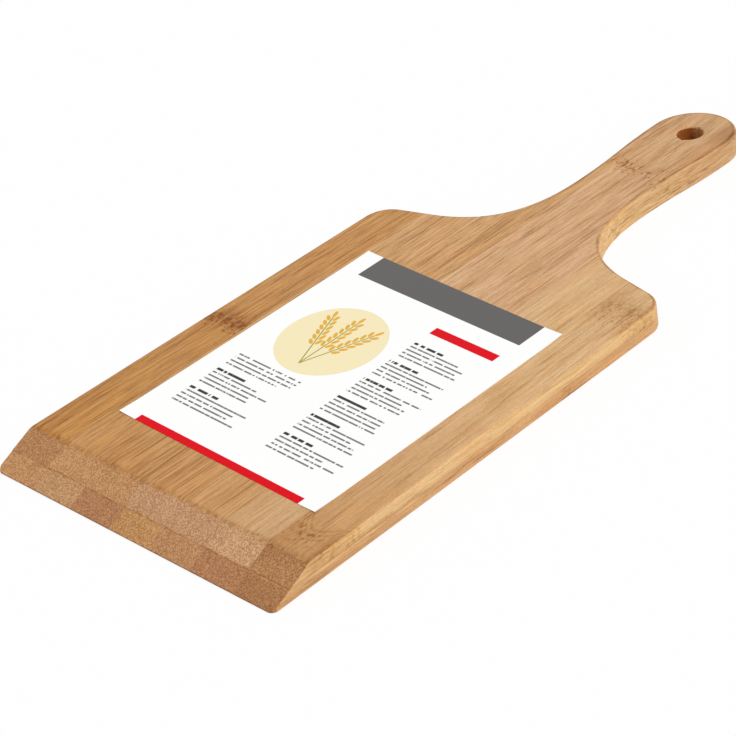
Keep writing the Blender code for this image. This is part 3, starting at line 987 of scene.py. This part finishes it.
def printed_paper():
    """White paper with a grey band, red rules, three ears of wheat on a disc, and small print."""
    finish = Finish("printed_paper")
    x, y, z = finish.place_mm()
    u = x - 1000 * LABEL_MIDDLE
    v = y - 1000 * (FRONT + LABEL_START) - NEAR_SLOPE * u
    v = v / (1 + (FAR_SLOPE - NEAR_SLOPE) / (1000 * LABEL_LENGTH) * u)
    colour = PAPER_WHITE
    inks = ((BAND_BOX, BAND_GREY), (END_RULE_BOX, RULE_RED), (SHORT_RULE_BOX, RULE_RED))
    for box, ink in inks:
        colour = finish.blend(inside_box(finish, u, v, *box), colour, ink)

    from_disc = (u - DISC_U) * (u - DISC_U) + (v - DISC_V) * (v - DISC_V)
    beyond = finish.math("SQRT", from_disc) - DISC_RADIUS
    colour = finish.blend(finish.spot(beyond, -PRINT_EDGE, PRINT_EDGE), colour, DISC_CREAM)
    for lean in EAR_LEANS:
        ear, stem = wheat_ear(finish, u - DISC_U, v - DISC_V + EAR_FOOT, math.radians(lean))
        colour = finish.blend(stem, colour, STEM_OLIVE)
        colour = finish.blend(ear, colour, GRAIN_GOLD)

    for block in BLOCKS:
        lines, headings = dashes(finish, u, v, *block)
        colour = finish.blend(lines, colour, SMALL_PRINT)
        colour = finish.blend(headings, colour, HEADING_INK)
    mottle = finish.noise(x / 3.0, y / 3.0, z)
    finish.set(Base_Color=colour, Roughness=0.45 + 0.1 * (mottle - 0.5), Specular_IOR_Level=0.05)
    return finish.material


label.data.materials.append(printed_paper())

# %% [markdown]
# ## Floor, light and background
#
# The floor is plain and white, and keeps the board's soft shadow. One broad lamp stands to the
# right and only a little behind, as the bright right side shows, and the white world fills in
# the rest. Both together light a level surface a little over 1, so that a colour renders about
# as it is written. For rays from the camera, the floor and the world glow at 1, which is white.

# %% The stage
FLOOR_SIZE = 6.0
FLOOR_GLOW = 0.88
FLOOR_WHITE = (0.93, 0.93, 0.93, 1.0)
WORLD_LIGHT = 0.58
KEY_STRENGTH = 1.96
KEY_SOFTNESS = math.radians(28)
KEY_FROM = Vector((0.66, 0.14, 0.72))


def camera_sees(tree):
    """1 for rays from the camera and for mirror and glass rays, 0 for the rest."""
    path = tree.nodes.new("ShaderNodeLightPath")
    total = path.outputs["Is Camera Ray"]
    for name in ("Is Glossy Ray", "Is Transmission Ray"):
        either = tree.nodes.new("ShaderNodeMath")
        either.operation = "MAXIMUM"
        tree.links.new(total, either.inputs[0])
        tree.links.new(path.outputs[name], either.inputs[1])
        total = either.outputs[0]
    return total


def white_floor():
    """A wide white plane under the board."""
    half = FLOOR_SIZE / 2
    corners = [(-half, -half, 0.0), (half, -half, 0.0), (half, half, 0.0), (-half, half, 0.0)]
    mesh = bpy.data.meshes.new("floor")
    mesh.from_pydata(corners, [], [(0, 1, 2, 3)])
    floor = bpy.data.objects.new("floor", mesh)
    bpy.context.collection.objects.link(floor)
    finish = Finish("white_floor")
    finish.set(Base_Color=FLOOR_WHITE, Roughness=0.9, Specular_IOR_Level=0.0)
    glow = finish.node("ShaderNodeEmission", {}, {})
    shaded = Field(finish, finish.shader.outputs[0])
    seen = Field(finish, camera_sees(finish.tree))
    mix = finish.node("ShaderNodeMixShader", {}, {0: FLOOR_GLOW * seen, 1: shaded, 2: glow})
    finish.tree.links.new(mix.socket, finish.tree.nodes["Material Output"].inputs[0])
    mesh.materials.append(finish.material)


def white_world():
    """An even white light all round, which the camera sees as white."""
    world = bpy.data.worlds.new("studio")
    bpy.context.scene.world = world
    world.use_nodes = True
    background = world.node_tree.nodes["Background"]
    background.inputs["Color"].default_value = (1.0, 1.0, 1.0, 1.0)
    strength = world.node_tree.nodes.new("ShaderNodeMapRange")
    strength.inputs["To Min"].default_value = WORLD_LIGHT
    world.node_tree.links.new(camera_sees(world.node_tree), strength.inputs["Value"])
    world.node_tree.links.new(strength.outputs[0], background.inputs["Strength"])


def key_lamp():
    """A broad lamp that is far away, so that it lights the whole board alike."""
    lamp = bpy.data.objects.new("key_lamp", bpy.data.lights.new("key_lamp", "SUN"))
    lamp.data.energy = KEY_STRENGTH
    lamp.data.angle = KEY_SOFTNESS
    lamp.rotation_euler = KEY_FROM.to_track_quat("Z", "Y").to_euler()
    bpy.context.collection.objects.link(lamp)


white_floor()
white_world()
key_lamp()
bpy.context.scene.view_settings.view_transform = "Standard"
